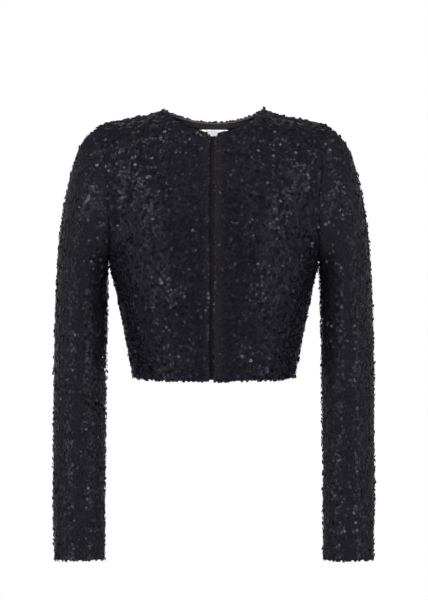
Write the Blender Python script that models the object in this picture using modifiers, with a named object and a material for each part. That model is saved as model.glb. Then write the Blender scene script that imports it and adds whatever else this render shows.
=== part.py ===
# A cropped, long-sleeved, sequinned cardigan with a round neck, its fronts meeting edge to edge.
# It keeps the hollow form that it has when worn. Sizes are in millimetres until mesh_object(),
# the front faces -Y, the wearer's left is +X, and z = 0 lies 30 mm below the neck points.
import math

import bmesh
import bpy
import numpy as np
from mathutils.bvhtree import BVHTree

MM = 0.001

# Cloth
WALL = 2.0
SEAM_GAP = 0.3
LINING_GAP = 0.5
FACING_WALL = 1.0
LABEL_WALL = 0.8

# Neck
NECK_HALF_WIDTH = 75.0
NECK_POINT_Y = 5.0
NECK_POINT_Z = 29.0
FRONT_NECK_Y = -65.0
BACK_NECK_Y = 50.0
BACK_NECK_Z = 12.2
# The front neckline falls steeply and then runs almost level: share of the way forward, height
FRONT_NECK = (
    (0.0, 29.0),
    (0.42, 18.8),
    (0.57, 9.0),
    (0.67, 1.2),
    (0.78, -4.6),
    (0.88, -7.0),
    (1.0, -10.5),
)

# Shoulders, armholes and side seams
SHOULDER_POINT = (176.0, 7.0, -1.5)
UNDERARM_POINT = (155.3, 0.0, -198.0)
HEM_SIDE_Z = -372.5
HEM_FRONT_Z = -376.5
HEM_BACK_Z = -374.0

# The front edges stand further apart at the neck, and their top corners are rounded.
EDGE_GAP_LOW = 4.0
EDGE_GAP_TOP = 7.5
EDGE_TOP_Z = -18.0
CORNER_X = 9.0
# Rows slope from the side seam down to the centre, so they reach it this far below the underarm.
ROW_DROP = 34.0

FACING_HEIGHT = 10.0
LABEL_WIDTH = 44.0
LABEL_HEIGHT = 11.0

# Body sections: height, half width at the side seam
SIDE_LINE = (
    (-372.5, 121.4),
    (-330.0, 129.6),
    (-290.0, 137.4),
    (-245.0, 147.0),
    (-198.0, 155.3),
)
# Centre front and centre back seen from the side: height, distance from the side seam's plane
FRONT_LINE = (
    (-376.5, 95.0),
    (-330.0, 103.0),
    (-290.0, 110.0),
    (-245.0, 116.0),
    (-198.0, 117.0),
    (-150.0, 110.0),
    (-100.0, 98.0),
    (-55.0, 83.5),
    (-11.5, 65.0),
)
BACK_LINE = (
    (-374.0, 88.0),
    (-330.0, 89.0),
    (-290.0, 92.0),
    (-245.0, 97.0),
    (-198.0, 101.0),
    (-150.0, 103.0),
    (-100.0, 100.0),
    (-50.0, 86.0),
    (12.2, 50.0),
)

# Armhole halves, as cubic curves from the underarm to the shoulder: the two middle handles
FRONT_ARMHOLE = ((150.0, -62.0, -190.0), (158.0, -54.0, -8.0))
BACK_ARMHOLE = ((156.0, 58.0, -194.0), (162.0, 66.0, -6.0))

# The two middle controls of each row of the body. Turn counts from 0 at the shoulder seam to -1
# at the front underarm and 1 at the back one, and on to HEM_TURN at the hem.
HEM_TURN = 1.73
ROW_CONTROLS = (
    # turn, step from the centre or neck (x, y, z), corner near the side or armhole (x, y, z)
    (-1.73, (77.0, 0.0, 0.0), (121.4, -56.0, -373.5)),
    (-1.35, (88.0, -3.0, 0.0), (138.5, -65.0, -288.0)),
    (-1.00, (98.0, -7.0, 0.0), (154.0, -71.0, -214.0)),
    (-0.85, (93.0, -7.0, -1.0), (148.0, -74.0, -183.0)),
    (-0.70, (83.0, -6.0, -4.0), (139.0, -76.0, -149.0)),
    (-0.45, (63.0, -4.0, -7.0), (127.0, -67.0, -82.0)),
    (-0.20, (43.0, -5.0, -11.0), (133.0, -38.0, -14.0)),
    (0.00, (35.0, 0.0, -18.5), (150.0, 7.0, 19.0)),
    (0.20, (42.0, 8.0, -9.0), (137.0, 47.0, -11.0)),
    (0.45, (58.0, 3.0, -5.0), (127.0, 70.0, -76.0)),
    (0.70, (78.0, 1.0, -3.0), (135.0, 74.0, -148.0)),
    (0.85, (86.0, 0.0, -1.0), (146.0, 70.0, -183.0)),
    (1.00, (91.0, 0.0, 0.0), (154.0, 62.0, -212.0)),
    (1.35, (85.0, 0.0, 0.0), (138.5, 55.0, -287.0)),
    (1.73, (77.0, 0.0, 0.0), (121.4, 51.0, -373.5)),
)

# Sleeve sections: height, centre x, centre y, half width, half depth
SLEEVE_SECTIONS = (
    (-260.0, 198.7, 0.0, 38.6, 56.0),
    (-320.0, 199.8, 0.0, 38.9, 52.0),
    (-400.0, 200.8, -2.0, 39.0, 47.0),
    (-480.0, 201.4, -7.0, 38.7, 43.0),
    (-560.0, 201.2, -14.0, 38.5, 39.5),
    (-644.0, 200.3, -21.0, 37.3, 37.0),
)
# How the sleeve head leaves the armhole: turn, handle (x, y, z)
HEAD_HANDLES = (
    (-1.00, (4.0, 0.0, 4.0)),
    (-0.80, (9.0, -5.0, -1.0)),
    (-0.55, (18.0, -14.0, -12.0)),
    (-0.30, (33.0, -13.0, -20.0)),
    (0.00, (42.5, 0.0, -26.0)),
    (0.30, (34.0, 11.0, -20.0)),
    (0.55, (18.0, 13.0, -12.0)),
    (0.80, (9.0, 5.0, -1.0)),
    (1.00, (4.0, 0.0, 4.0)),
)

# Mesh density
ROWS_BELOW_UNDERARM = 7
ROWS_TO_FRONT_CORNER = 9
ROWS_TO_BACK_NECK = 10
ROWS_ABOVE_UNDERARM = 16
COLUMNS = 11
HEAD_ROWS = 10
LOWER_SLEEVE_ROWS = 15
RELAX_STEPS = 6
RELAX_SHARE = 0.5

CLOTH_COLOUR = (0.020, 0.019, 0.026)
FACING_COLOUR = (0.030, 0.024, 0.030)
LABEL_COLOUR = (0.80, 0.80, 0.79)


def clear_scene():
    for obj in list(bpy.data.objects):
        bpy.data.objects.remove(obj)


def cloth_material(name, colour, roughness):
    material = bpy.data.materials.new(name)
    material.use_nodes = True
    shader = material.node_tree.nodes["Principled BSDF"]
    shader.inputs["Base Color"].default_value = (*colour, 1.0)
    shader.inputs["Roughness"].default_value = roughness
    shader.inputs["Metallic"].default_value = 0.0
    return material


def spline(table, at):
    """The natural cubic spline through a table's rows, each a key and then its values."""
    rows = sorted(table)
    keys = np.array([row[0] for row in rows])
    values = np.array([np.ravel(row[1:]) for row in rows], dtype=float)
    steps = np.diff(keys)
    slopes = np.diff(values, axis=0) / steps[:, None]
    system = np.eye(len(keys))
    bends = np.zeros_like(values)
    for i in range(1, len(keys) - 1):
        system[i, i - 1 : i + 2] = steps[i - 1], 2 * (steps[i - 1] + steps[i]), steps[i]
        bends[i] = 6 * (slopes[i] - slopes[i - 1])
    bends = np.linalg.solve(system, bends)
    i = int(np.clip(np.searchsorted(keys, at) - 1, 0, len(steps) - 1))
    before, after = at - keys[i], keys[i + 1] - at
    return (
        (bends[i] * after**3 + bends[i + 1] * before**3) / (6 * steps[i])
        + (values[i] / steps[i] - bends[i] * steps[i] / 6) * after
        + (values[i + 1] / steps[i] - bends[i + 1] * steps[i] / 6) * before
    )


def bezier(controls, t):
    a, b, c, d = (np.asarray(point, dtype=float) for point in controls)
    return a * (1 - t) ** 3 + 3 * b * t * (1 - t) ** 2 + 3 * c * t * t * (1 - t) + d * t**3


def even_bezier(controls, count):
    """Points at equal distances along a cubic curve, ends included."""
    fine = np.array([bezier(controls, t) for t in np.linspace(0, 1, 401)])
    run = np.concatenate([[0], np.cumsum(np.linalg.norm(np.diff(fine, axis=0), axis=1))])
    stops = np.linspace(0, run[-1], count + 1)
    return np.stack([np.interp(stops, run, fine[:, axis]) for axis in range(3)], axis=1)


def smooth_step(low, high, at):
    share = np.clip((at - low) / (high - low), 0, 1)
    return share * share * (3 - 2 * share)


def neck_point(angle, side):
    """A point of the neckline: angle 0 at the neck point, 90 degrees at the centre."""
    across, along = math.cos(angle), math.sin(angle)
    x = NECK_HALF_WIDTH * across
    if side < 0:
        y = NECK_POINT_Y + (FRONT_NECK_Y - NECK_POINT_Y) * along
        z = spline(FRONT_NECK, along)[0]
    else:
        y = NECK_POINT_Y + (BACK_NECK_Y - NECK_POINT_Y) * along
        z = BACK_NECK_Z + (NECK_POINT_Z - BACK_NECK_Z) * across**2
    return np.array([x, y, z])


def centre_point(z, side):
    """A point of the front edge, or of the centre back."""
    if side < 0:
        gap = EDGE_GAP_LOW + (EDGE_GAP_TOP - EDGE_GAP_LOW) * smooth_step(-75, -40, z)
        return np.array([gap / 2, -spline(FRONT_LINE, z)[0], z])
    return np.array([0.0, spline(BACK_LINE, z)[0], z])


def centre_path(side):
    """The centre ends of a panel's rows, from the hem up and then along the neckline."""
    hem = HEM_FRONT_Z if side < 0 else HEM_BACK_Z
    rows = ROWS_TO_FRONT_CORNER if side < 0 else ROWS_TO_BACK_NECK
    top = EDGE_TOP_Z if side < 0 else BACK_NECK_Z
    underarm = UNDERARM_POINT[2] - ROW_DROP
    heights = list(np.linspace(hem, underarm, ROWS_BELOW_UNDERARM + 1))
    heights += list(np.linspace(underarm, top, rows + 1))[1:]
    path = [centre_point(z, side) for z in heights]
    first = math.acos(CORNER_X / NECK_HALF_WIDTH) if side < 0 else math.pi / 2
    angles = np.linspace(first, 0, ROWS_ABOVE_UNDERARM - rows + (side > 0))
    return path + [neck_point(angle, side) for angle in angles[side > 0 :]]


def outer_path(side):
    """The outer ends of a panel's rows: the side seam, then the armhole."""
    heights = np.linspace(HEM_SIDE_Z, UNDERARM_POINT[2], ROWS_BELOW_UNDERARM + 1)
    seam = [np.array([spline(SIDE_LINE, z)[0], 0.0, z]) for z in heights[:-1]]
    handles = FRONT_ARMHOLE if side < 0 else BACK_ARMHOLE
    armhole = even_bezier((UNDERARM_POINT, *handles, SHOULDER_POINT), ROWS_ABOVE_UNDERARM)
    return seam + list(armhole)


def relaxed(sheet, centre_rows):
    """Evens out a sheet: its edges stay, the rest moves towards the mean of its neighbours.
    In the first centre_rows rows the sheet goes on past its first column, mirrored."""
    for _ in range(RELAX_STEPS):
        wide = np.concatenate([sheet[:, 1:2] * (-1, 1, 1), sheet], axis=1)
        mean = (wide[:-2, 1:-1] + wide[2:, 1:-1] + wide[1:-1, :-2] + wide[1:-1, 2:]) / 4
        moved = sheet[1:-1, :-1] + RELAX_SHARE * (mean - sheet[1:-1, :-1])
        sheet[1:centre_rows, 0] = moved[: max(centre_rows - 1, 0), 0]
        sheet[1:-1, 1:-1] = moved[:, 1:]
    return sheet


def panel_sheet(side):
    """The outer surface of the left front, or of the back's left half, as rows of points."""
    rows = []
    for index, (inner, outer) in enumerate(zip(centre_path(side), outer_path(side))):
        climbed = index - ROWS_BELOW_UNDERARM
        if climbed < 0:
            turn = 1 - (HEM_TURN - 1) * climbed / ROWS_BELOW_UNDERARM
        else:
            turn = 1 - climbed / ROWS_ABOVE_UNDERARM
        step, corner = np.split(spline(ROW_CONTROLS, side * turn), 2)
        controls = (inner, inner + step, corner, outer)
        rows.append([bezier(controls, t) for t in np.linspace(0, 1, COLUMNS + 1)])
    return relaxed(np.array(rows), ROWS_BELOW_UNDERARM + ROWS_TO_BACK_NECK if side > 0 else 0)


def sleeve_ring(z):
    """A level section of the sleeve, from the underarm line round the front."""
    centre_x, centre_y, half_width, half_depth = spline(SLEEVE_SECTIONS, z)
    lower = spline(SLEEVE_SECTIONS, z - 5.0)[1]
    upper = spline(SLEEVE_SECTIONS, z + 5.0)[1]
    lean = (lower - upper) / 10.0
    ring = []
    for k in range(2 * ROWS_ABOVE_UNDERARM):
        angle = math.pi * (1 - k / ROWS_ABOVE_UNDERARM)
        forward = -half_depth * math.sin(angle)
        ring.append((centre_x + half_width * math.cos(angle), centre_y + forward, z + lean * forward))
    return np.array(ring)


def sleeve_sheet(armhole):
    """The outer surface of the left sleeve: the head from the armhole, then the straight part."""
    top_z, cuff_z = SLEEVE_SECTIONS[0][0], SLEEVE_SECTIONS[-1][0]
    biceps = sleeve_ring(top_z)
    rows = []
    for t in np.linspace(0, 1, HEAD_ROWS + 1):
        row = []
        for k, (start, end) in enumerate(zip(armhole, biceps)):
            leave = spline(HEAD_HANDLES, k / ROWS_ABOVE_UNDERARM - 1)
            arrive = 0.5 * (start[2] - end[2]) * np.array([-0.03, 0.0, 1.0])
            row.append(bezier((start, start + leave, end + arrive, end), t))
        rows.append(row)
    for z in np.linspace(top_z, cuff_z, LOWER_SLEEVE_ROWS + 1)[1:]:
        rows.append(sleeve_ring(z))
    return np.array(rows)


def face_normals(sheet):
    """Each grid cell's normal, with its size as the cell's area."""
    return np.cross(sheet[1:, 1:] - sheet[:-1, :-1], sheet[1:, :-1] - sheet[:-1, 1:]) / 2


def unit(vectors):
    return vectors / np.linalg.norm(vectors, axis=-1, keepdims=True)


def point_normals(sheet):
    cells = face_normals(sheet)
    normals = np.zeros_like(sheet)
    for down in (0, 1):
        for across in (0, 1):
            rows, columns = cells.shape[:2]
            normals[down : down + rows, across : across + columns] += unit(cells)
    return unit(normals)


def share_seam_normals(sheets, normals):
    """Where sheets meet at less than a sharp fold, gives them one normal, so that rims are parallel."""
    meeting = {}
    for name, sheet in sheets.items():
        for place in np.ndindex(sheet.shape[:2]):
            meeting.setdefault(tuple(np.round(sheet[place], 2)), []).append((name, place))
    for shared in meeting.values():
        found = np.array([normals[name][place] for name, place in shared])
        for (name, place), own in zip(shared, found):
            alike = found[found @ own > 0.3]
            normals[name][place] = unit(alike.sum(axis=0))


def nudged(edge, neighbours, ring=False):
    """Moves an edge's points square to it by half the seam gap, towards their neighbours."""
    if ring:
        along = unit(np.roll(edge, -1, axis=0) - np.roll(edge, 1, axis=0))
    else:
        along = unit(np.gradient(edge, axis=0))
    inward = neighbours - edge
    inward -= (inward * along).sum(axis=1, keepdims=True) * along
    return edge + SEAM_GAP / 2 * unit(inward)


def with_seam_gap(layer, name):
    """A layer with its sewn edges moved in: a sleeve's head, or a panel's side and shoulder."""
    moved = layer.copy()
    if name == "sleeve":
        moved[0] = nudged(layer[0], layer[1], ring=True)
        return moved
    moved[:, -1] = nudged(layer[:, -1], layer[:, -2])
    moved[-1] += nudged(layer[-1], layer[-2]) - layer[-1]
    return moved


def grid_faces(rows, columns, start, ring):
    """The quads of a grid of points numbered from start; a ring closes on itself."""
    last = columns if ring else columns - 1
    for i in range(rows - 1):
        for j in range(last):
            k = (j + 1) % columns
            a, b = start + i * columns, start + (i + 1) * columns
            yield (a + j, a + k, b + k, b + j)


def shell_faces(rows, columns, ring=False, open_rows=0):
    """The faces of a wall between two grids; its first column stays open for the first open_rows."""
    count = rows * columns
    faces = list(grid_faces(rows, columns, 0, ring))
    faces += [face[::-1] for face in grid_faces(rows, columns, count, ring)]
    edges = []
    last = columns if ring else columns - 1
    for j in range(last):
        k = (j + 1) % columns
        edges.append((k, j))
        edges.append(((rows - 1) * columns + j, (rows - 1) * columns + k))
    if not ring:
        for i in range(rows - 1):
            edges.append(((i + 1) * columns - 1, (i + 2) * columns - 1)[::-1])
            if i >= open_rows:
                edges.append((i * columns, (i + 1) * columns))
    return faces + [(a, b, b + count, a + count) for a, b in edges]


def mesh_object(name, points, faces, material, side=1):
    """A mesh object from points in millimetres; side -1 mirrors it to the wearer's right."""
    mesh = bpy.data.meshes.new(name)
    scaled = [(side * x * MM, y * MM, z * MM) for x, y, z in points]
    mesh.from_pydata(scaled, [], faces)
    work = bmesh.new()
    work.from_mesh(mesh)
    bmesh.ops.recalc_face_normals(work, faces=work.faces)
    work.to_mesh(mesh)
    work.free()
    mesh.materials.append(material)
    obj = bpy.data.objects.new(name, mesh)
    bpy.context.scene.collection.objects.link(obj)
    return obj


def wall_object(name, outer, inner, material, side=1, ring=False, open_rows=0):
    rows, columns = outer.shape[:2]
    points = np.concatenate([outer.reshape(-1, 3), inner.reshape(-1, 3)])
    faces = shell_faces(rows, columns, ring, open_rows)
    return mesh_object(name, points, faces, material, side)


def mirror_across_centre(obj):
    mirror = obj.modifiers.new("Other half", "MIRROR")
    mirror.use_axis = (True, False, False)
    mirror.use_mirror_merge = True
    mirror.merge_threshold = 0.00001


def body_sheets():
    """The left half's outer surfaces and their normals, which all point out of the garment."""
    front, back = panel_sheet(-1), panel_sheet(1)
    first = ROWS_BELOW_UNDERARM
    armhole = np.concatenate([front[first:, -1], back[first + 1 : -1, -1][::-1]])
    sleeve = sleeve_sheet(armhole)
    closed_sleeve = np.concatenate([sleeve[:, -1:], sleeve, sleeve[:, :1]], axis=1)
    sheets = {"front": front, "back": back, "sleeve": sleeve}
    normals = {
        "front": point_normals(front),
        "back": -point_normals(back),
        "sleeve": -point_normals(closed_sleeve)[:, 1:-1],
    }
    share_seam_normals(sheets, normals)
    centre = normals["back"][: ROWS_BELOW_UNDERARM + ROWS_TO_BACK_NECK + 1, 0]
    centre[:, 0] = 0
    centre[:] = unit(centre)
    return sheets, normals


def sewn_layers(sheets, normals, name):
    outer = sheets[name]
    inner = outer - WALL * normals[name]
    return with_seam_gap(outer, name), with_seam_gap(inner, name)


def lining_tree(inner):
    """The back's inner surface, both halves, for pieces that lie on it."""
    rows, columns = inner.shape[:2]
    points = inner.reshape(-1, 3)
    mirrored = points * (-1, 1, 1)
    faces = list(grid_faces(rows, columns, 0, False))
    faces += list(grid_faces(rows, columns, rows * columns, False))
    return BVHTree.FromPolygons([tuple(p) for p in np.concatenate([points, mirrored])], faces)


def laid_on(tree, targets, wall):
    """Two layers, from the points of the tree nearest to each target, moved towards the wearer."""
    near = np.zeros_like(targets)
    far = np.zeros_like(targets)
    for place in np.ndindex(targets.shape[:2]):
        spot, normal, _, _ = tree.find_nearest(tuple(targets[place]))
        inward = np.array(normal)
        if inward @ (np.array((0.0, 0.0, -60.0)) - spot) < 0:
            inward = -inward
        near[place] = np.array(spot) + LINING_GAP * inward
        far[place] = near[place] + wall * inward
    return near, far


def build_facing(tree, material):
    """The band inside the back neck, from one shoulder seam to the other."""
    angles = np.linspace(math.radians(6), math.radians(174), 25)
    rows = []
    for drop in np.linspace(0.5, FACING_HEIGHT, 4):
        row = []
        for angle in angles:
            edge = neck_point(angle, 1)
            down = np.array([0.75 * math.cos(angle), 0.45 * math.sin(angle), -0.85])
            row.append(edge + drop * unit(down))
        rows.append(row)
    near, far = laid_on(tree, np.array(rows), FACING_WALL)
    return wall_object("neck_facing", near, far, material)


def build_label(tree, material):
    """The label below the facing, at the centre back."""
    top = BACK_NECK_Z - 0.9 * FACING_HEIGHT - 2 * SEAM_GAP
    rows = []
    for z in np.linspace(top, top - LABEL_HEIGHT, 4):
        y = spline(BACK_LINE, z)[0] - WALL
        rows.append([(x, y, z) for x in np.linspace(-LABEL_WIDTH / 2, LABEL_WIDTH / 2, 9)])
    near, far = laid_on(tree, np.array(rows), LABEL_WALL)
    return wall_object("label", near, far, material)


def build_cardigan():
    sheets, normals = body_sheets()
    front = sewn_layers(sheets, normals, "front")
    back = sewn_layers(sheets, normals, "back")
    sleeve = sewn_layers(sheets, normals, "sleeve")
    for word, side in (("left", 1), ("right", -1)):
        material = cloth_material(f"front {word} sequins", CLOTH_COLOUR, 0.45)
        wall_object(f"front_{word}", *front, material, side)
        material = cloth_material(f"sleeve {word} sequins", CLOTH_COLOUR, 0.45)
        wall_object(f"sleeve_{word}", *sleeve, material, side, ring=True)
    material = cloth_material("back sequins", CLOTH_COLOUR, 0.45)
    centre_rows = ROWS_BELOW_UNDERARM + ROWS_TO_BACK_NECK
    mirror_across_centre(wall_object("back", *back, material, open_rows=centre_rows))
    tree = lining_tree(back[1])
    build_facing(tree, cloth_material("facing knit", FACING_COLOUR, 0.9))
    build_label(tree, cloth_material("label satin", LABEL_COLOUR, 0.6))


clear_scene()
build_cardigan()
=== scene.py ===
# A cropped black cardigan covered in sequins, dressed over its packed panels. Lengths in metres.
import math

import bmesh
import bpy
import numpy as np
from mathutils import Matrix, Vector, noise
from mathutils.bvhtree import BVHTree
from mathutils.kdtree import KDTree


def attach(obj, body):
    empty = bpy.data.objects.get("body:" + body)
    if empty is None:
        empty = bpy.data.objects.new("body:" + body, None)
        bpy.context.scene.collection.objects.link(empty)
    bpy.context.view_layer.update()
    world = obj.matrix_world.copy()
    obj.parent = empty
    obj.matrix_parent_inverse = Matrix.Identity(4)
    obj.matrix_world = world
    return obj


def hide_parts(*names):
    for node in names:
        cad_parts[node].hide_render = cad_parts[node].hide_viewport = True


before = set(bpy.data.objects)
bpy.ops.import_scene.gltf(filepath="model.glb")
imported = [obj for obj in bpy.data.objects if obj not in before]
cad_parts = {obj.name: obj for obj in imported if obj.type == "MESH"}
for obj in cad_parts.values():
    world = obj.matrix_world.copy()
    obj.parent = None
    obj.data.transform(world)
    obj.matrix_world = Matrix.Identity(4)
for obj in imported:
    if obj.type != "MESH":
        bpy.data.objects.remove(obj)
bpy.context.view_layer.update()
print("frame loaded")


# shader helpers
def newMaterial(name):
    material = bpy.data.materials.new(name)
    material.use_nodes = True
    tree = material.node_tree
    return material, tree, tree.nodes["Principled BSDF"]


def place(tree, kind, inputs=None, **settings):
    node = tree.nodes.new(kind)
    for key, value in settings.items():
        setattr(node, key, value)
    for key, value in (inputs or {}).items():
        if isinstance(value, bpy.types.NodeSocket):
            tree.links.new(value, node.inputs[key])
        else:
            node.inputs[key].default_value = value
    return node


def calc(tree, operation, first, second=0.0):
    return place(tree, "ShaderNodeMath", {0: first, 1: second}, operation=operation).outputs[0]


def stretch(tree, value, fromLow, fromHigh, low, high):
    return place(
        tree, "ShaderNodeMapRange",
        {"Value": value, "From Min": fromLow, "From Max": fromHigh, "To Min": low, "To Max": high},
    ).outputs["Result"]


def blendColour(tree, factor, first, second):
    node = place(tree, "ShaderNodeMix", data_type="RGBA")
    for index, value in ((0, factor), (6, first), (7, second)):
        if isinstance(value, bpy.types.NodeSocket):
            tree.links.new(value, node.inputs[index])
        else:
            node.inputs[index].default_value = value if index == 0 else (*value, 1)
    return node.outputs[2]


# camera, light and floor
studio = {
    "distance": 3.0,
    "eyeHeight": -0.258,
    "lens": 120.0,
    "sensor": 36.0,
    "backdrop": 1.0,      # what the camera sees behind the cardigan
    "airFront": 0.25,     # what lights the cardigan from the camera's side
    "airBack": 0.20,      # and from the backdrop
    "airTurn": (-0.1, 0.6),    # from front to back, where the one passes into the other
    "floorHeight": -1.42,
    "floorRadius": 2.6,
    "floorSides": 96,
    "floorShade": 0.62,
    "floorRoughness": 0.8,
    "floorGlow": 0.5,     # the floor looks paler to the camera than its light on the cardigan
    # softboxes round the cardigan: place, width, height, watts
    "softboxes": (
        ((0.0, -2.1, 2.0), 2.6, 1.6, 4),
        ((0.0, -3.2, -0.35), 2.4, 2.4, 3),
        ((0.0, -1.1, 2.0), 0.8, 0.5, 4),
        ((0.0, 2.7, 0.0), 0.7, 1.6, 10),
        ((-0.5, 2.7, 0.6), 0.2, 0.2, 2),
        ((0.5, 2.7, -0.6), 0.2, 0.2, 2),
    ),
    # these stand in pairs, one on each side
    "sideboxes": (
        ((1.3, -1.2, 1.9), 0.3, 0.3, 7),
        ((0.9, -2.4, 1.2), 0.14, 0.14, 1),
        ((0.7, -2.6, -1.7), 0.14, 0.14, 1),
        ((1.9, -1.8, 0.7), 0.24, 0.24, 6),
        ((2.5, -1.3, 1.1), 0.16, 0.16, 6),
        ((2.3, -1.5, -1.5), 0.16, 0.16, 6),
        ((1.6, -2.2, -1.0), 0.24, 0.24, 5),
        ((1.7, -2.2, -0.35), 0.24, 1.9, 7),
        ((2.4, -1.5, -0.35), 0.30, 1.9, 7),
        ((2.8, -0.5, -0.2), 0.30, 1.9, 4),
        ((2.7, 0.6, 0.1), 1.0, 2.0, 3),
        ((2.1, 1.9, -0.35), 0.8, 2.1, 2),
        ((0.8, 1.3, 2.6), 0.8, 0.8, 3),
    ),
    "aim": (0, 0, -0.3),
}
# a small lamp that reaches into the neck
neckLamp = {
    "place": (0.0, -1.7, 1.85),
    "aim": (0.0, 0.045, 0.012),
    "degrees": 4.0,
    "watts": 620,
    "blend": 0.4,
    "softness": 0.02,
}


def makeCamera(s):
    eye = bpy.data.cameras.new("camera")
    eye.lens, eye.sensor_width = s["lens"], s["sensor"]
    cam = bpy.data.objects.new("camera", eye)
    cam.location = (0, -s["distance"], s["eyeHeight"])
    cam.rotation_euler = (math.radians(90), 0, 0)
    bpy.context.scene.collection.objects.link(cam)
    bpy.context.scene.camera = cam


def hangLamp(lamp, at, aim):
    obj = bpy.data.objects.new(lamp.name, lamp)
    obj.location = at
    obj.rotation_euler = (Vector(aim) - Vector(at)).to_track_quat("-Z", "Y").to_euler()
    bpy.context.scene.collection.objects.link(obj)


def makeLights(s, neck):
    mirrored = [((-x, y, z), *size) for (x, y, z), *size in s["sideboxes"]]
    boxes = (*s["softboxes"], *s["sideboxes"], *mirrored)
    for number, (at, width, height, watts) in enumerate(boxes, 1):
        lamp = bpy.data.lights.new(f"softbox {number}", "AREA")
        lamp.shape, lamp.size, lamp.size_y, lamp.energy = "RECTANGLE", width, height, watts
        hangLamp(lamp, at, s["aim"])
    spot = bpy.data.lights.new("neck lamp", "SPOT")
    spot.energy = neck["watts"]
    spot.spot_size, spot.spot_blend = math.radians(neck["degrees"]), neck["blend"]
    spot.shadow_soft_size = neck["softness"]
    hangLamp(spot, neck["place"], neck["aim"])


def makeAir(s):
    world = bpy.data.worlds.new("studio air")
    world.use_nodes = True
    tree = world.node_tree
    tree.nodes.clear()
    way = place(tree, "ShaderNodeTexCoord").outputs["Generated"]
    depth = place(tree, "ShaderNodeSeparateXYZ", {0: way}).outputs["Y"]
    strength = stretch(tree, depth, *s["airTurn"], s["airFront"], s["airBack"])
    air = place(tree, "ShaderNodeBackground", {"Color": (1, 1, 1, 1), "Strength": strength})
    behind = place(tree, "ShaderNodeBackground", {"Color": (1, 1, 1, 1), "Strength": s["backdrop"]})
    seen = place(tree, "ShaderNodeLightPath").outputs["Is Camera Ray"]
    mix = place(tree, "ShaderNodeMixShader", {0: seen, 1: air.outputs[0], 2: behind.outputs[0]})
    place(tree, "ShaderNodeOutputWorld", {"Surface": mix.outputs[0]})
    bpy.context.scene.world = world


def setView():
    view = bpy.context.scene.view_settings
    view.view_transform, view.look, view.exposure, view.gamma = "Standard", "None", 0.0, 1.0


makeCamera(studio)
makeLights(studio, neckLamp)
makeAir(studio)
setView()
print("studio ready")


# knit, satin and sequin materials
def newGroup(name, inputs, outputs):
    group = bpy.data.node_groups.new(name, "ShaderNodeTree")
    for label, value in inputs.items():
        kind = "NodeSocketVector" if value is None else "NodeSocketFloat"
        socket = group.interface.new_socket(label, in_out="INPUT", socket_type=kind)
        if value is not None:
            socket.default_value = value
    for label in outputs:
        group.interface.new_socket(label, in_out="OUTPUT", socket_type="NodeSocketFloat")
    return group, group.nodes.new("NodeGroupInput").outputs, group.nodes.new("NodeGroupOutput").inputs


stitchShape = {
    "inputs": {"Place": None, "Width": 0.0012, "Height": 0.0009, "Wander": 0.15},
    "wobbleScale": 140.0,
    "legLow": 0.35,        # how high a leg stands at its lowest
    "fullRelief": 0.6,     # from here on a stitch is at its lightest
    "shades": (0.55, 1.1),
}


def knitGroup(s):
    # columns of V-shaped stitches; Place is in metres across and up the cloth
    group, given, out = newGroup("knit stitches", s["inputs"], ["Relief", "Shade"])
    wobble = place(
        group, "ShaderNodeTexNoise", {"Vector": given["Place"], "Scale": s["wobbleScale"], "Detail": 2.0}
    )
    apart = place(group, "ShaderNodeSeparateXYZ", {0: given["Place"]})
    shift = calc(group, "MULTIPLY", calc(group, "SUBTRACT", wobble.outputs["Fac"], 0.5), given["Wander"])
    across = calc(group, "ADD", calc(group, "DIVIDE", apart.outputs["X"], given["Width"]), shift)
    along = calc(group, "ADD", calc(group, "DIVIDE", apart.outputs["Y"], given["Height"]), shift)
    fold = calc(group, "ABSOLUTE", calc(group, "SUBTRACT", calc(group, "FRACT", across), 0.5))
    leg = calc(group, "SINE", calc(group, "MULTIPLY", calc(group, "ADD", along, fold), 2 * math.pi))
    column = calc(group, "SINE", calc(group, "MULTIPLY", calc(group, "FRACT", across), math.pi))
    relief = calc(group, "MULTIPLY", column, stretch(group, leg, -1, 1, s["legLow"], 1))
    shade = calc(group, "MULTIPLY", relief, wobble.outputs["Fac"])
    group.links.new(relief, out["Relief"])
    group.links.new(stretch(group, shade, 0, s["fullRelief"], *s["shades"]), out["Shade"])
    return group


satinWeave = {
    "inputs": {"Place": None, "Thread": 0.00022},
    "floatOver": 5,        # a float passes over this many threads
    "step": 2,             # and the next one starts this many further on
    "dip": 6.0,            # how sharply it goes under
    "shades": (0.86, 1.0),
}


def weaveGroup(s):
    group, given, out = newGroup("satin weave", s["inputs"], ["Relief", "Shade"])
    apart = place(group, "ShaderNodeSeparateXYZ", {0: given["Place"]})
    across = calc(group, "DIVIDE", apart.outputs["X"], given["Thread"])
    along = calc(group, "DIVIDE", apart.outputs["Y"], given["Thread"])
    step = calc(group, "MULTIPLY", calc(group, "FLOOR", across), s["step"] / s["floatOver"])
    run = calc(group, "MULTIPLY", along, 1 / s["floatOver"])
    floats = calc(group, "FRACT", calc(group, "ADD", run, step))
    dip = calc(group, "SMOOTH_MIN", calc(group, "MULTIPLY", floats, s["dip"]), 1.0)
    thread = calc(group, "SINE", calc(group, "MULTIPLY", calc(group, "FRACT", across), math.pi))
    relief = calc(group, "MULTIPLY", dip, thread)
    group.links.new(relief, out["Relief"])
    group.links.new(stretch(group, relief, 0, 1, *s["shades"]), out["Shade"])
    return group


knit, weave = knitGroup(stitchShape), weaveGroup(satinWeave)


def clothPlace(tree):
    return place(tree, "ShaderNodeUVMap", uv_map="clothMap").outputs["UV"]


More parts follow.
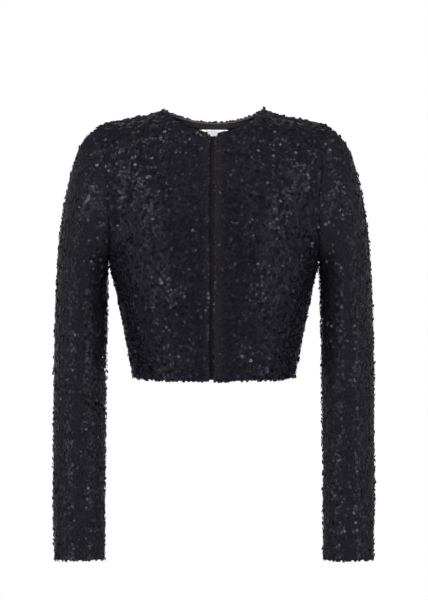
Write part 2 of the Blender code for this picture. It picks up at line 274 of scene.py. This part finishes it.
knitLook = {
    "stitchHeight": 0.75,          # of its width
    "patchScale": 26.0,
    "patchRange": (0.3, 0.7),
    "patchShades": (0.85, 1.12),
    "shadow": 0.45,                # the colour between the stitches
    "worn": 0.15,                  # how much smoother the tops of the stitches are
    "wornShades": (0.5, 1.1),
    "shine": 0.2,
    "sheen": 0.04,
    "sheenRoughness": 0.5,
    "relief": 0.8,
}


def knitMaterial(name, colour, roughness, width, bump):
    s = knitLook
    material, tree, shader = newMaterial(name)
    sizes = {"Place": clothPlace(tree), "Width": width, "Height": s["stitchHeight"] * width}
    stitches = place(tree, "ShaderNodeGroup", sizes, node_tree=knit)
    where = place(tree, "ShaderNodeTexCoord").outputs["Object"]
    patches = place(tree, "ShaderNodeTexNoise", {"Vector": where, "Scale": s["patchScale"], "Detail": 3.0})
    patchy = stretch(tree, patches.outputs["Fac"], *s["patchRange"], *s["patchShades"])
    shade = calc(tree, "MULTIPLY", stitches.outputs["Shade"], patchy)
    dark = tuple(s["shadow"] * c for c in colour)
    tree.links.new(blendColour(tree, shade, dark, colour), shader.inputs["Base Color"])
    dull = stretch(tree, shade, *s["wornShades"], roughness, roughness - s["worn"])
    tree.links.new(dull, shader.inputs["Roughness"])
    shader.inputs["Specular IOR Level"].default_value = s["shine"]
    shader.inputs["Sheen Weight"].default_value = s["sheen"]
    shader.inputs["Sheen Roughness"].default_value = s["sheenRoughness"]
    height = stitches.outputs["Relief"]
    raised = place(tree, "ShaderNodeBump", {"Strength": s["relief"], "Distance": bump, "Height": height})
    tree.links.new(raised.outputs["Normal"], shader.inputs["Normal"])
    return material


sequinLook = {
    "black": (0.0074, 0.0070, 0.0116),
    # the blue colour is both a random tone and the painted shade in the middle of a front
    "blueAndShade": (0.0042, 0.0037, 0.0118),
    # the brown colour is both a random tone and the painted light along a front's edge
    "brownAndEdgeLight": (0.0172, 0.0152, 0.0172),
    "thread": (0.018, 0.017, 0.024),
    "gloss": 0.17,         # how much a face reflects: the plastic is thin and smoky
    "tint": (0.90, 0.86, 1.0),
    "ior": 1.5,
    "smoothest": 0.10,
    "dullest": 0.32,
    # painted shade: a front is darker and bluer between these distances from the middle, and below this
    # height
    "shadeFrom": (0.010, 0.024),
    "shadeTo": (0.15, 0.09),
    "shadeUnder": (-0.06, -0.10),
    "shadeShare": 0.6,
    # painted light: and lighter and browner near its edge, on the front half alone
    "edgeLightTo": (0.016, 0.006),
    "edgeLightBefore": (0, -0.03),
    # of all tones from 0 to 1, these turn blue and brown
    "blueTones": (0.45, 0.75, 0, 0.5),
    "brownTones": (0.80, 0.98, 0, 0.7),
    "hole": (0.12, 0.22),  # the hole's share of the radius
    "holeDull": 0.4,
    "hazeScale": 900.0,
    "hazeShare": 0.3,      # the rest of a face's wear is its own
    "wearTurns": 7.0,      # how often that wear runs through its range as the tone goes from 0 to 1
    "wearRange": (0.05, 0.95),
    "rings": 19.0,         # pressed rings, in radians from middle to rim
    "ringHeight": 0.25,
    "relief": (0.2, 0.0001),       # strength and depth
}
# painted light: a sleeve's sequins have these lighter colours instead of the body's
litSleeveLook = {
    "black": (0.0122, 0.0113, 0.0164),
    "blueAndShade": (0.0112, 0.0103, 0.0176),
    "brownAndEdgeLight": (0.0144, 0.0132, 0.0168),
}


def sequinMaterial(name, s):
    material, tree, shader = newMaterial(name)
    tone = place(tree, "ShaderNodeAttribute", attribute_name="tone").outputs["Fac"]
    rim = place(tree, "ShaderNodeAttribute", attribute_name="rim").outputs["Fac"]
    where = place(tree, "ShaderNodeTexCoord").outputs["Object"]
    apart = place(tree, "ShaderNodeSeparateXYZ", {0: where}).outputs
    away = calc(tree, "ABSOLUTE", apart["X"])
    # painted shade: darker and bluer across the middle of a front, below the chest
    shadeFarIn = stretch(tree, away, *s["shadeTo"], 0, 1)
    inner = calc(tree, "MULTIPLY", shadeFarIn, stretch(tree, away, *s["shadeFrom"], 0, 1))
    inner = calc(tree, "MULTIPLY", inner, stretch(tree, apart["Z"], *s["shadeUnder"], 0, 1))
    # painted light: lighter and browner along a front's edge
    before = stretch(tree, apart["Y"], *s["edgeLightBefore"], 0, 1)
    edge = calc(tree, "MULTIPLY", stretch(tree, away, *s["edgeLightTo"], 0, 1), before)
    blues, browns = (stretch(tree, tone, *s[key]) for key in ("blueTones", "brownTones"))
    blueToneAndShade = calc(tree, "ADD", blues, calc(tree, "MULTIPLY", inner, s["shadeShare"]))
    body = blendColour(tree, blueToneAndShade, s["black"], s["blueAndShade"])
    body = blendColour(tree, calc(tree, "ADD", browns, edge), body, s["brownAndEdgeLight"])
    hole = stretch(tree, rim, *s["hole"], 1, 0)  # the thread that holds it down
    tree.links.new(blendColour(tree, hole, body, s["thread"]), shader.inputs["Base Color"])
    haze = place(tree, "ShaderNodeTexNoise", {"Vector": where, "Scale": s["hazeScale"], "Detail": 2.0})
    haze = haze.outputs["Fac"]
    own = calc(tree, "FRACT", calc(tree, "MULTIPLY", tone, s["wearTurns"]))
    own = calc(tree, "MULTIPLY", own, 1 - s["hazeShare"])
    wear = calc(tree, "ADD", own, calc(tree, "MULTIPLY", haze, s["hazeShare"]))
    gloss = stretch(tree, wear, *s["wearRange"], s["smoothest"], s["dullest"])
    dull = calc(tree, "ADD", gloss, calc(tree, "MULTIPLY", hole, s["holeDull"]))
    tree.links.new(dull, shader.inputs["Roughness"])
    shader.inputs["IOR"].default_value = s["ior"]
    shader.inputs["Specular IOR Level"].default_value = s["gloss"]
    shader.inputs["Specular Tint"].default_value = (*s["tint"], 1)
    rings = calc(tree, "SINE", calc(tree, "MULTIPLY", rim, s["rings"]))
    height = calc(tree, "ADD", calc(tree, "MULTIPLY", rings, s["ringHeight"]), haze)
    strength, depth = s["relief"]
    raised = place(tree, "ShaderNodeBump", {"Strength": strength, "Distance": depth, "Height": height})
    tree.links.new(raised.outputs["Normal"], shader.inputs["Normal"])
    return material


# colour, roughness, width of a stitch and its relief
knits = {
    "ground knit": ((0.0130, 0.0122, 0.0185), 0.85, 0.0011, 0.0002),
    "turned edge knit": ((0.0150, 0.0138, 0.0180), 0.80, 0.0010, 0.0002),
    "inner knit": ((0.050, 0.043, 0.049), 0.85, 0.0012, 0.00025),
}
panelKnits = [knitMaterial(name, *values) for name, values in knits.items()]
sequinKinds = {
    "body": sequinMaterial("body sequins", sequinLook),
    "sleeve": sequinMaterial("lit sleeve sequins", {**sequinLook, **litSleeveLook}),
}
print("materials ready")


# how the cloth lies
drape = {
    "ripple": 0.0009,      # gentle unevenness all over
    "rippleSize": 0.055,
    "rippleSeed": 2,       # without it the noise starts from the clock
    "steps": 8,            # straight stretches in a crease
    "ends": (0.12, 0.88),  # the part of a half wave that its depth follows
    # creases on the wearer's left, mirrored to the right, in millimetres:
    # start, middle, end, push, half width
    "creases": (
        # armhole seam in front, drawn forward
        ((158, -44, -85), (152, -49, -140), (154, -20, -196), (0, -0.8, 0), 6),
        ((158, -40, -100), (154, -36, -155), (155, -6, -208), (0, -17, 0), 18),
        ((160, -40, -48), (158, -44, -78), (157, -44, -112), (0, -5, 0), 14),
        # the body's side and the sleeve touch below it
        ((151, -20, -185), (151, -12, -208), (147, -14, -232), (3.5, -3, 0), 10),
        ((159, -20, -185), (160, -12, -208), (163, -14, -232), (-3.5, -3, 0), 10),
        # armhole seam at the back
        ((162, 50, -85), (156, 47, -145), (154, 18, -196), (-0.4, -1.8, 0), 6),
        ((160, 46, -100), (154, 47, -155), (155, 15, -215), (0, 8, 0), 18),
        # from the underarm towards the bust
        ((150, -50, -196), (128, -80, -206), (98, -98, -232), (-0.7, 2.1, 0), 9),
        ((147, -45, -236), (126, -75, -252), (104, -90, -284), (-0.5, 1.4, 0), 10),
        ((146, -58, -150), (122, -80, -168), (96, -96, -186), (0, 1.3, 0), 9),
        # the neck edge stands up at the sides
        ((34, -58, -8), (48, -48, -3), (62, -34, 9), (0, 0, 3.6), 12),
        # across the chest from the neck
        ((58, -45, -22), (74, -60, -60), (80, -82, -108), (0, 1.2, 0), 12),
        # the fronts' turned edges
        ((11, -70, -35), (12, -100, -190), (11, -96, -372), (0, -1.6, 0), 6),
        # above the hem
        ((70, -85, -300), (66, -83, -335), (70, -78, -370), (0, 1.2, 0), 10),
        ((24, -105, -318), (28, -101, -345), (25, -96, -374), (0, -1, 0), 9),
        # back: shoulder blades, underarm and waist
        ((150, 45, -190), (124, 72, -204), (90, 90, -214), (-0.6, -2, 0), 10),
        ((140, 50, -250), (108, 74, -268), (70, 88, -276), (0, -1.6, 0), 10),
        ((60, 80, -80), (74, 90, -125), (68, 96, -175), (0, 1.4, 0), 14),
        ((30, 90, -300), (34, 88, -335), (28, 86, -370), (0, -1.2, 0), 11),
        # full sleeve head
        ((185, -28, -38), (188, 0, -29), (185, 28, -38), (2.4, 0, 3.4), 34),
        # sleeve: drag lines from the head, elbow and above the cuff
        ((178, -52, -150), (190, -58, -190), (206, -56, -236), (0, 1.4, 0), 10),
        ((166, -20, -270), (184, -46, -282), (212, -50, -302), (0.6, 1.6, 0), 9),
        ((164, -15, -405), (184, -42, -412), (216, -44, -424), (0.6, 1.8, 0), 9),
        ((236, -15, -385), (222, -41, -394), (196, -48, -398), (-0.6, -1.4, 0), 9),
        ((165, -20, -455), (186, -44, -462), (210, -48, -480), (0.5, 1.4, 0), 9),
        ((236, -20, -520), (216, -49, -532), (184, -48, -540), (-0.6, 1.6, 0), 9),
        ((166, -20, -590), (192, -55, -598), (222, -50, -612), (0.4, 1.2, 0), 9),
        ((164, 20, -300), (186, 48, -312), (214, 46, -330), (0.6, -1.6, 0), 10),
        ((236, 18, -390), (212, 44, -404), (180, 38, -412), (-0.6, -1.8, 0), 10),
        ((166, 12, -440), (190, 38, -452), (220, 34, -470), (0.6, -1.6, 0), 10),
        ((234, 4, -560), (206, 24, -572), (176, 14, -584), (-0.4, -1.4, 0), 10),
    ),
}

noise.seed_set(drape["rippleSeed"])


opening = {
    "reach": 0.050,        # how far from its edge a front gives way
    # height, and how far across the right and the left front's edge lie
    "edges": (
        (-0.380, -0.0060, 0.0000), (-0.330, -0.0068, -0.0012), (-0.240, -0.0066, -0.0004),
        (-0.100, -0.0064, -0.0004), (-0.050, -0.0056, -0.0006), (-0.015, -0.0020, -0.0014),
    ),
}


def openFront(mesh, side, o):
    # draws a front's edge back from the middle
    heights, rights, lefts = zip(*o["edges"])
    places = lefts if side > 0 else rights
    for vertex in mesh.vertices:
        away = side * vertex.co.x
        if away < o["reach"]:
            share = 1 - max(away, 0) / o["reach"]
            eased = share * share * (3 - 2 * share)
            vertex.co.x += eased * np.interp(vertex.co.z, heights, places)


def creasePath(points, steps):
    # a soft curve through three points
    start, middle, end = points
    bend = 2 * middle - (start + end) / 2
    t = np.linspace(0, 1, steps + 1)[:, None]
    return (1 - t) ** 2 * start + 2 * t * (1 - t) * bend + t * t * end


def nearPath(points, path):
    # how far each point is from a path, and where along it, from 0 to 1
    away = np.full(len(points), np.inf)
    along = np.zeros(len(points))
    for step, (a, b) in enumerate(zip(path[:-1], path[1:])):
        run = np.clip((points - a) @ (b - a) / ((b - a) @ (b - a)), 0, 1)
        far = np.linalg.norm(points - a - run[:, None] * (b - a), axis=1)
        nearer = far < away
        away[nearer] = far[nearer]
        along[nearer] = (step + run[nearer]) / (len(path) - 1)
    return away, along


def draped(points, d):
    # where creases and unevenness move the cloth; both faces of every panel follow the same rule
    moved = points + d["ripple"] * np.array([noise.noise_vector(Vector(p) / d["rippleSize"]) for p in points])
    for *course, push, halfWidth in d["creases"]:
        path = creasePath(np.array(course) / 1000, d["steps"])
        for side in (1, -1):
            mirror = np.array((side, 1, 1))
            away, along = nearPath(points, path * mirror)
            fade = np.sin(np.pi * np.interp(along, (0, 1), d["ends"]))
            near = np.exp(-((away / (halfWidth / 1000)) ** 2))
            moved += (near * fade)[:, None] * (np.array(push) / 1000 * mirror)
    return moved


def drapeMesh(mesh):
    points = np.empty(3 * len(mesh.vertices))
    mesh.vertices.foreach_get("co", points)
    mesh.vertices.foreach_set("co", draped(points.reshape(-1, 3), drape).ravel())
    mesh.update()


# cloth panels
panels = {
    # node: material slot, cut width and length, cut area, middle of its hollow, way its map turns
    "back": ("back sequins", (0.44, 0.41), 0.149, (0.0, 0.0), 1),
    "front_left": ("front left sequins", (0.22, 0.41), 0.076, (0.0, 0.0), -1),
    "front_right": ("front right sequins", (0.22, 0.41), 0.076, (0.0, 0.0), -1),
    "sleeve_left": ("sleeve left sequins", (0.36, 0.66), 0.156, (0.2, -0.01), -1),
    "sleeve_right": ("sleeve right sequins", (0.36, 0.66), 0.156, (-0.2, -0.01), -1),
}
shell = {
    "rimDegrees": 50,     # a sharper fold than this is a panel's rim
    "freeRim": 0.0012,    # a rim this far from every other panel isn't sewn
    "levels": 2,
    "weld": 2e-5,
    "joinDegrees": 40,    # triangles that fold less than this become one four-sided face
    "rimLean": 0.3,       # how far a sequin on a free rim faces the way the rim does
}


def otherPanels(name):
    points = [v.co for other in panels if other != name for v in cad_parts[other].data.vertices]
    tree = KDTree(len(points))
    for index, point in enumerate(points):
        tree.insert(point, index)
    tree.balance()
    return tree


def patchesOf(work, rims):
    # groups of faces between the rims, the largest first
    left, found = set(work.faces), []
    while left:
        stack = [left.pop()]
        patch = []
        while stack:
            face = stack.pop()
            patch.append(face)
            for edge in face.edges:
                if edge not in rims:
                    for other in edge.link_faces:
                        if other in left:
                            left.remove(other)
                            stack.append(other)
        found.append(patch)
    return sorted(found, key=lambda patch: -sum(face.calc_area() for face in patch))


def panelPiece(node, name, materials, s, others=None):
    # the CAD node's wall, smoothed: material 0 outside, 1 on free rims, 2 inside and in the seams
    work = bmesh.new()
    work.from_mesh(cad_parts[node].data)
    bmesh.ops.remove_doubles(work, verts=work.verts, dist=s["weld"])
    flat = math.radians(s["joinDegrees"])
    bmesh.ops.join_triangles(
        work, faces=work.faces, angle_face_threshold=flat, angle_shape_threshold=math.pi
    )
    limit = math.radians(s["rimDegrees"])
    crease = work.edges.layers.float.new("crease_edge")
    rims = {edge for edge in work.edges if edge.calc_face_angle(0) > limit}
    for edge in rims:
        edge[crease] = 1.0
    outside, inside, *walls = patchesOf(work, rims)
    for patch, index in ((outside, 0), (inside, 2)):
        for face in patch:
            face.material_index = index
    for wall in walls:
        for face in wall:
            free = others is None or others.find(face.calc_center_median())[2] > s["freeRim"]
            face.material_index = 1 if free else 2
    for face in work.faces:
        face.smooth = True
    mesh = bpy.data.meshes.new(name)
    work.to_mesh(mesh)
    work.free()
    for material in materials:
        mesh.materials.append(material)
    obj = bpy.data.objects.new(name, mesh)
    bpy.context.scene.collection.objects.link(obj)
    smooth = obj.modifiers.new("smooth", "SUBSURF")
    smooth.levels = smooth.render_levels = s["levels"]
    return plain(obj)


def plain(obj):
    # keeps what the modifiers make, and takes them off
    graph = bpy.context.evaluated_depsgraph_get()
    mesh = bpy.data.meshes.new_from_object(obj.evaluated_get(graph))
    mesh.name = obj.name
    obj.modifiers.clear()
    obj.data = mesh
    return obj


def markLie(mesh, lean):
    # the way a sequin faces: out of the cloth, and on a free rim mostly as on the face beside it
    centres = np.array([face.center for face in mesh.polygons])
    ways = np.array([face.normal for face in mesh.polygons])
    kinds = np.array([face.material_index for face in mesh.polygons])
    tree = KDTree(int((kinds == 0).sum()))
    for index in np.flatnonzero(kinds == 0):
        tree.insert(centres[index], index)
    tree.balance()
    for index in np.flatnonzero(kinds == 1):
        beside = ways[tree.find(centres[index])[1]]
        ways[index] = lean * ways[index] + (1 - lean) * beside
    ways /= np.linalg.norm(ways, axis=1)[:, None]
    mesh.attributes.new("lie", "FLOAT_VECTOR", "FACE").data.foreach_set("vector", ways.ravel())


def unroll(mesh, centre, turn):
    # a map in metres: round the piece's hollow, and up
    at = np.array([vertex.co for vertex in mesh.vertices])
    across, deep = at[:, 0] - centre[0], turn * (at[:, 1] - centre[1])
    angles, radius = np.arctan2(across, deep), np.hypot(across, deep).mean()
    layer = mesh.uv_layers.new(name="clothMap")
    for face in mesh.polygons:
        near = angles[face.vertices[0]]
        for loop in face.loop_indices:
            vertex = mesh.loops[loop].vertex_index
            angle = angles[vertex] + 2 * math.pi * round((near - angles[vertex]) / (2 * math.pi))
            layer.data[loop].uv = (angle * radius, at[vertex, 2])


# sequins
sequins = {
    "Spacing": 0.0041,
    "Density": 330000.0,   # enough tries to fill the cloth at that spacing
    "Radius": 0.0026,
    "Sides": 12,
    "Cup": 0.00010,
    "Hang": math.radians(3),       # the lower edge stands away from the cloth
    "Most Tilt": math.radians(32),
    "Tilt Bias": 2.3,              # most lie nearly flat, a few stand up
    "Patch Scale": 32.0,           # they lie rougher in some places than in others
    "Patch Share": 0.6,
    "Stand": 0.0004,
    "Small": 0.86,
    "Large": 1.10,
}
scatterRules = {
    "clear": 0.8,             # a tilted sequin is lifted by this share of its lower half's dip
    "standSpread": (0.6, 1.8),
    "patchRange": (0.32, 0.68),
    # each property draws its own chances
    "tiltDraw": 3, "standDraw": 4, "sizeDraw": 5, "aroundDraw": 7, "toneDraw": 11,
    "firstSeed": 20,          # the back's, and each panel's is one more
}


def sequinTree(r):
    tree = bpy.data.node_groups.new("scatter sequins", "GeometryNodeTree")
    kinds = {"Cloth": "Geometry", "Sides": "Int", "Seed": "Int", "Material": "Material"}
    for label in ("Cloth", *sequins, "Seed", "Material"):
        kind = "NodeSocket" + kinds.get(label, "Float")
        tree.interface.new_socket(label, in_out="INPUT", socket_type=kind)
    tree.interface.new_socket("Sequins", in_out="OUTPUT", socket_type="NodeSocketGeometry")
    given = tree.nodes.new("NodeGroupInput").outputs
    out = tree.nodes.new("NodeGroupOutput").inputs

    def chance(low, high, seed):
        node = place(tree, "FunctionNodeRandomValue", {2: low, 3: high, "Seed": seed}, data_type="FLOAT")
        return node.outputs[1]

    index = place(tree, "GeometryNodeInputMaterialIndex").outputs[0]
    outside = place(tree, "FunctionNodeCompare", {2: index, 3: 2}, data_type="INT", operation="LESS_THAN")
    # the inner face goes first, or its points would push away the outer ones
    face = place(
        tree, "GeometryNodeSeparateGeometry", {"Geometry": given["Cloth"], "Selection": outside.outputs[0]},
        domain="FACE",
    )
    lie = place(tree, "GeometryNodeInputNamedAttribute", {"Name": "lie"}, data_type="FLOAT_VECTOR").outputs[0]
    spots = place(
        tree, "GeometryNodeDistributePointsOnFaces",
        {"Mesh": face.outputs["Selection"], "Distance Min": given["Spacing"], "Density Max": given["Density"],
         "Seed": given["Seed"]},
        distribute_method="POISSON",
    )
    share = calc(tree, "POWER", chance(0.0, 1.0, r["tiltDraw"]), given["Tilt Bias"])
    tilt = calc(tree, "MULTIPLY", given["Most Tilt"], share)
    where = place(tree, "GeometryNodeInputPosition").outputs[0]
    patches = place(
        tree, "ShaderNodeTexNoise", {"Vector": where, "Scale": given["Patch Scale"], "Detail": 1.0}
    ).outputs["Fac"]
    rough = stretch(tree, patches, *r["patchRange"], -0.5, 0.5)
    rougher = calc(tree, "MULTIPLY", rough, given["Patch Share"])
    tilt = calc(tree, "MULTIPLY", tilt, calc(tree, "ADD", rougher, 1.0))
    dip = calc(tree, "MULTIPLY", calc(tree, "SINE", tilt), given["Radius"])
    spread = chance(*r["standSpread"], r["standDraw"])
    stand = calc(
        tree, "ADD", calc(tree, "MULTIPLY", dip, r["clear"]), calc(tree, "MULTIPLY", given["Stand"], spread)
    )
    lifted = place(tree, "ShaderNodeVectorMath", {0: lie, "Scale": stand}, operation="SCALE")
    raised = place(
        tree, "GeometryNodeSetPosition", {"Geometry": spots.outputs["Points"], "Offset": lifted.outputs[0]}
    )

    disc = place(
        tree, "GeometryNodeMeshCircle", {"Vertices": given["Sides"], "Radius": given["Radius"]},
        fill_type="TRIANGLE_FAN",
    )
    here = place(tree, "GeometryNodeInputPosition").outputs[0]
    far = place(tree, "ShaderNodeVectorMath", {0: here}, operation="LENGTH").outputs["Value"]
    rim = calc(tree, "DIVIDE", far, given["Radius"])
    bowl = calc(tree, "SUBTRACT", calc(tree, "MULTIPLY", rim, rim), 1.0)
    sunk = place(tree, "ShaderNodeCombineXYZ", {"Z": calc(tree, "MULTIPLY", bowl, given["Cup"])}).outputs[0]
    marked = place(
        tree, "GeometryNodeStoreNamedAttribute", {"Geometry": disc.outputs[0], "Name": "rim", "Value": rim},
        data_type="FLOAT", domain="POINT",
    )
    cupped = place(tree, "GeometryNodeSetPosition", {"Geometry": marked.outputs[0], "Offset": sunk})

    facing = place(tree, "FunctionNodeAlignRotationToVector", {"Vector": lie}, axis="Z")
    upright = place(
        tree, "FunctionNodeAlignRotationToVector",
        {"Rotation": facing.outputs[0], "Vector": (0, 0, 1)}, axis="Y", pivot_axis="Z",
    )
    angles = place(tree, "ShaderNodeCombineXYZ", {"X": given["Hang"]}).outputs[0]
    hang = place(tree, "FunctionNodeEulerToRotation", {0: angles}).outputs[0]
    around = chance(-math.pi, math.pi, r["aroundDraw"])
    axis = place(
        tree, "ShaderNodeCombineXYZ", {"X": calc(tree, "COSINE", around), "Y": calc(tree, "SINE", around)}
    ).outputs[0]
    lean = place(tree, "FunctionNodeAxisAngleToRotation", {"Axis": axis, "Angle": tilt}).outputs[0]
    turned = upright.outputs[0]
    for turn in (hang, lean):
        rotate = place(tree, "FunctionNodeRotateRotation", {0: turned, 1: turn}, rotation_space="LOCAL")
        turned = rotate.outputs[0]
    sewn = place(
        tree, "GeometryNodeInstanceOnPoints",
        {"Points": raised.outputs[0], "Instance": cupped.outputs[0], "Rotation": turned,
         "Scale": chance(given["Small"], given["Large"], r["sizeDraw"])},
    )
    toned = place(
        tree, "GeometryNodeStoreNamedAttribute",
        {"Geometry": sewn.outputs[0], "Name": "tone", "Value": chance(0.0, 1.0, r["toneDraw"])},
        data_type="FLOAT", domain="INSTANCE",
    )
    real = place(tree, "GeometryNodeRealizeInstances", {"Geometry": toned.outputs[0]})
    soft = place(tree, "GeometryNodeSetShadeSmooth", {"Geometry": real.outputs[0]})
    dyed = place(
        tree, "GeometryNodeSetMaterial", {"Geometry": soft.outputs[0], "Material": given["Material"]}
    )
    tree.links.new(dyed.outputs[0], out["Sequins"])
    return tree


def setInputs(modifier, values):
    known = {
        item.name: item.identifier
        for item in modifier.node_group.interface.items_tree
        if item.item_type == "SOCKET" and item.in_out == "INPUT"
    }
    for label, value in values.items():
        modifier[known[label]] = value


def scatterSequins(clothObj, name, tree, material, seed):
    obj = bpy.data.objects.new(name, clothObj.data.copy())
    bpy.context.scene.collection.objects.link(obj)
    grow = obj.modifiers.new("sequins", "NODES")
    grow.node_group = tree
    setInputs(grow, {**sequins, "Seed": seed, "Material": material})
    return plain(obj)


scatter = sequinTree(scatterRules)
for order, (node, (slot, flat, area, centre, turn)) in enumerate(panels.items()):
    piece = panelPiece(node, node + "_cloth", panelKnits, shell, otherPanels(node))
    unroll(piece.data, centre, turn)
    if node.startswith("front"):
        openFront(piece.data, 1 if node.endswith("left") else -1, opening)
    drapeMesh(piece.data)
    markLie(piece.data, shell["rimLean"])
    kind = "sleeve" if node.startswith("sleeve") else "body"
    seed = scatterRules["firstSeed"] + order
    shine = scatterSequins(piece, node + "_sequins", scatter, sequinKinds[kind], seed)
    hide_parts(node)
    for part in (piece, shine):
        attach(part, "root")
    print(node, "cloth and sequins:", len(piece.data.polygons), len(shine.data.polygons))


# neck band and label
bandKnit = knitMaterial("band knit", (0.034, 0.028, 0.032), 0.85, 0.0014, 0.0003)
satinLook = {
    # painted shade: the satin is darker where a thread dips under
    "between": (0.74, 0.74, 0.75),
    "thread": (0.93, 0.93, 0.92),
    "roughness": (0.55, 0.38),
    "relief": (0.5, 0.00006),      # strength and depth
}


def satinMaterial(name, s):
    material, tree, shader = newMaterial(name)
    threads = place(tree, "ShaderNodeGroup", {"Place": clothPlace(tree)}, node_tree=weave).outputs
    colour = blendColour(tree, threads["Shade"], s["between"], s["thread"])
    tree.links.new(colour, shader.inputs["Base Color"])
    tree.links.new(stretch(tree, threads["Relief"], 0, 1, *s["roughness"]), shader.inputs["Roughness"])
    strength, depth = s["relief"]
    raised = place(
        tree, "ShaderNodeBump", {"Strength": strength, "Distance": depth, "Height": threads["Relief"]}
    )
    tree.links.new(raised.outputs["Normal"], shader.inputs["Normal"])
    return material


band = panelPiece("neck_facing", "neck_band", [bandKnit] * 3, shell)
tag = panelPiece("label", "plain_label", [satinMaterial("white satin", satinLook)] * 3, shell)
for piece, node, slot, flat in (
    (band, "neck_facing", "facing knit", (0.185, 0.010)),
    (tag, "label", "label satin", (0.045, 0.0125)),
):
    unroll(piece.data, (0.0, 0.0), 1)
    drapeMesh(piece.data)
    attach(piece, "root")
    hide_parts(node)
print("band and label ready")


# tapes inside the front edges
tapes = {
    "top": -0.0175,
    "bottom": -0.3740,
    "past": 0.004,         # each passes the middle, the right one behind the left one
    "width": 0.018,
    "edge": 0.0055,        # past the front's edge, where its inner face is sure to be met
    "behind": 0.0004,
    "apart": 0.0003,
    "thick": 0.0007,
    "sure": 0.006,         # the front is sure to be met this far below the tape's top
    "rows": 72,
    "columns": 6,
}


def edgeTape(node, name, side, material, s):
    # a thin flat tube on the inner face of a front, past its edge and the middle
    behind = s["behind"] if side > 0 else s["behind"] + s["thick"] + s["apart"]
    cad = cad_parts[node].data
    front = BVHTree.FromPolygons([v.co for v in cad.vertices], [face.vertices for face in cad.polygons])
    work = bmesh.new()
    rings = []
    for row in range(s["rows"] + 1):
        z = s["top"] + (s["bottom"] - s["top"]) * row / s["rows"]
        low = min(z, s["top"] - s["sure"])
        outer, inner = [], []
        for column in range(s["columns"] + 1):
            x = s["width"] * column / s["columns"] - s["past"]
            hit = front.ray_cast(Vector((side * max(x, s["edge"]), 0, low)), Vector((0, -1, 0)))[0]
            y = hit.y + behind
            outer.append(work.verts.new((side * x, y, z)))
            inner.append(work.verts.new((side * x, y + s["thick"], z)))
        rings.append(outer + inner[::-1])
    count = len(rings[0])
    for above, below in zip(rings, rings[1:]):
        for k in range(count):
            work.faces.new((above[k], above[(k + 1) % count], below[(k + 1) % count], below[k]))
    work.faces.new(rings[0])
    work.faces.new(rings[-1])
    bmesh.ops.recalc_face_normals(work, faces=work.faces)
    for face in work.faces:
        face.smooth = True
    mesh = bpy.data.meshes.new(name)
    work.to_mesh(mesh)
    work.free()
    mesh.materials.append(material)
    obj = bpy.data.objects.new(name, mesh)
    bpy.context.scene.collection.objects.link(obj)
    return obj


tapeKnit = knitMaterial("tape knit", (0.0105, 0.0092, 0.0120), 0.9, 0.0008, 0.00015)
for side, letter in ((1, "left"), (-1, "right")):
    tape = edgeTape("front_" + letter, "edge_tape_" + letter, side, tapeKnit, tapes)
    unroll(tape.data, (0.0, 0.0), -1)
    drapeMesh(tape.data)
    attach(tape, "root")
print("edge tapes ready")


# floor
def makeFloor(s):
    work = bmesh.new()
    bmesh.ops.create_circle(work, cap_ends=True, segments=s["floorSides"], radius=s["floorRadius"])
    mesh = bpy.data.meshes.new("floor")
    work.to_mesh(mesh)
    work.free()
    for vertex in mesh.vertices:
        vertex.co.z = s["floorHeight"]
    floor = bpy.data.objects.new("floor", mesh)
    bpy.context.scene.collection.objects.link(floor)
    material, tree, shader = newMaterial("pale floor")
    shader.inputs["Base Color"].default_value = (*[s["floorShade"]] * 3, 1)
    shader.inputs["Roughness"].default_value = s["floorRoughness"]
    shader.inputs["Emission Color"].default_value = (1, 1, 1, 1)
    seen = place(tree, "ShaderNodeLightPath").outputs["Is Camera Ray"]
    tree.links.new(calc(tree, "MULTIPLY", seen, s["floorGlow"]), shader.inputs["Emission Strength"])
    mesh.materials.append(material)


makeFloor(studio)
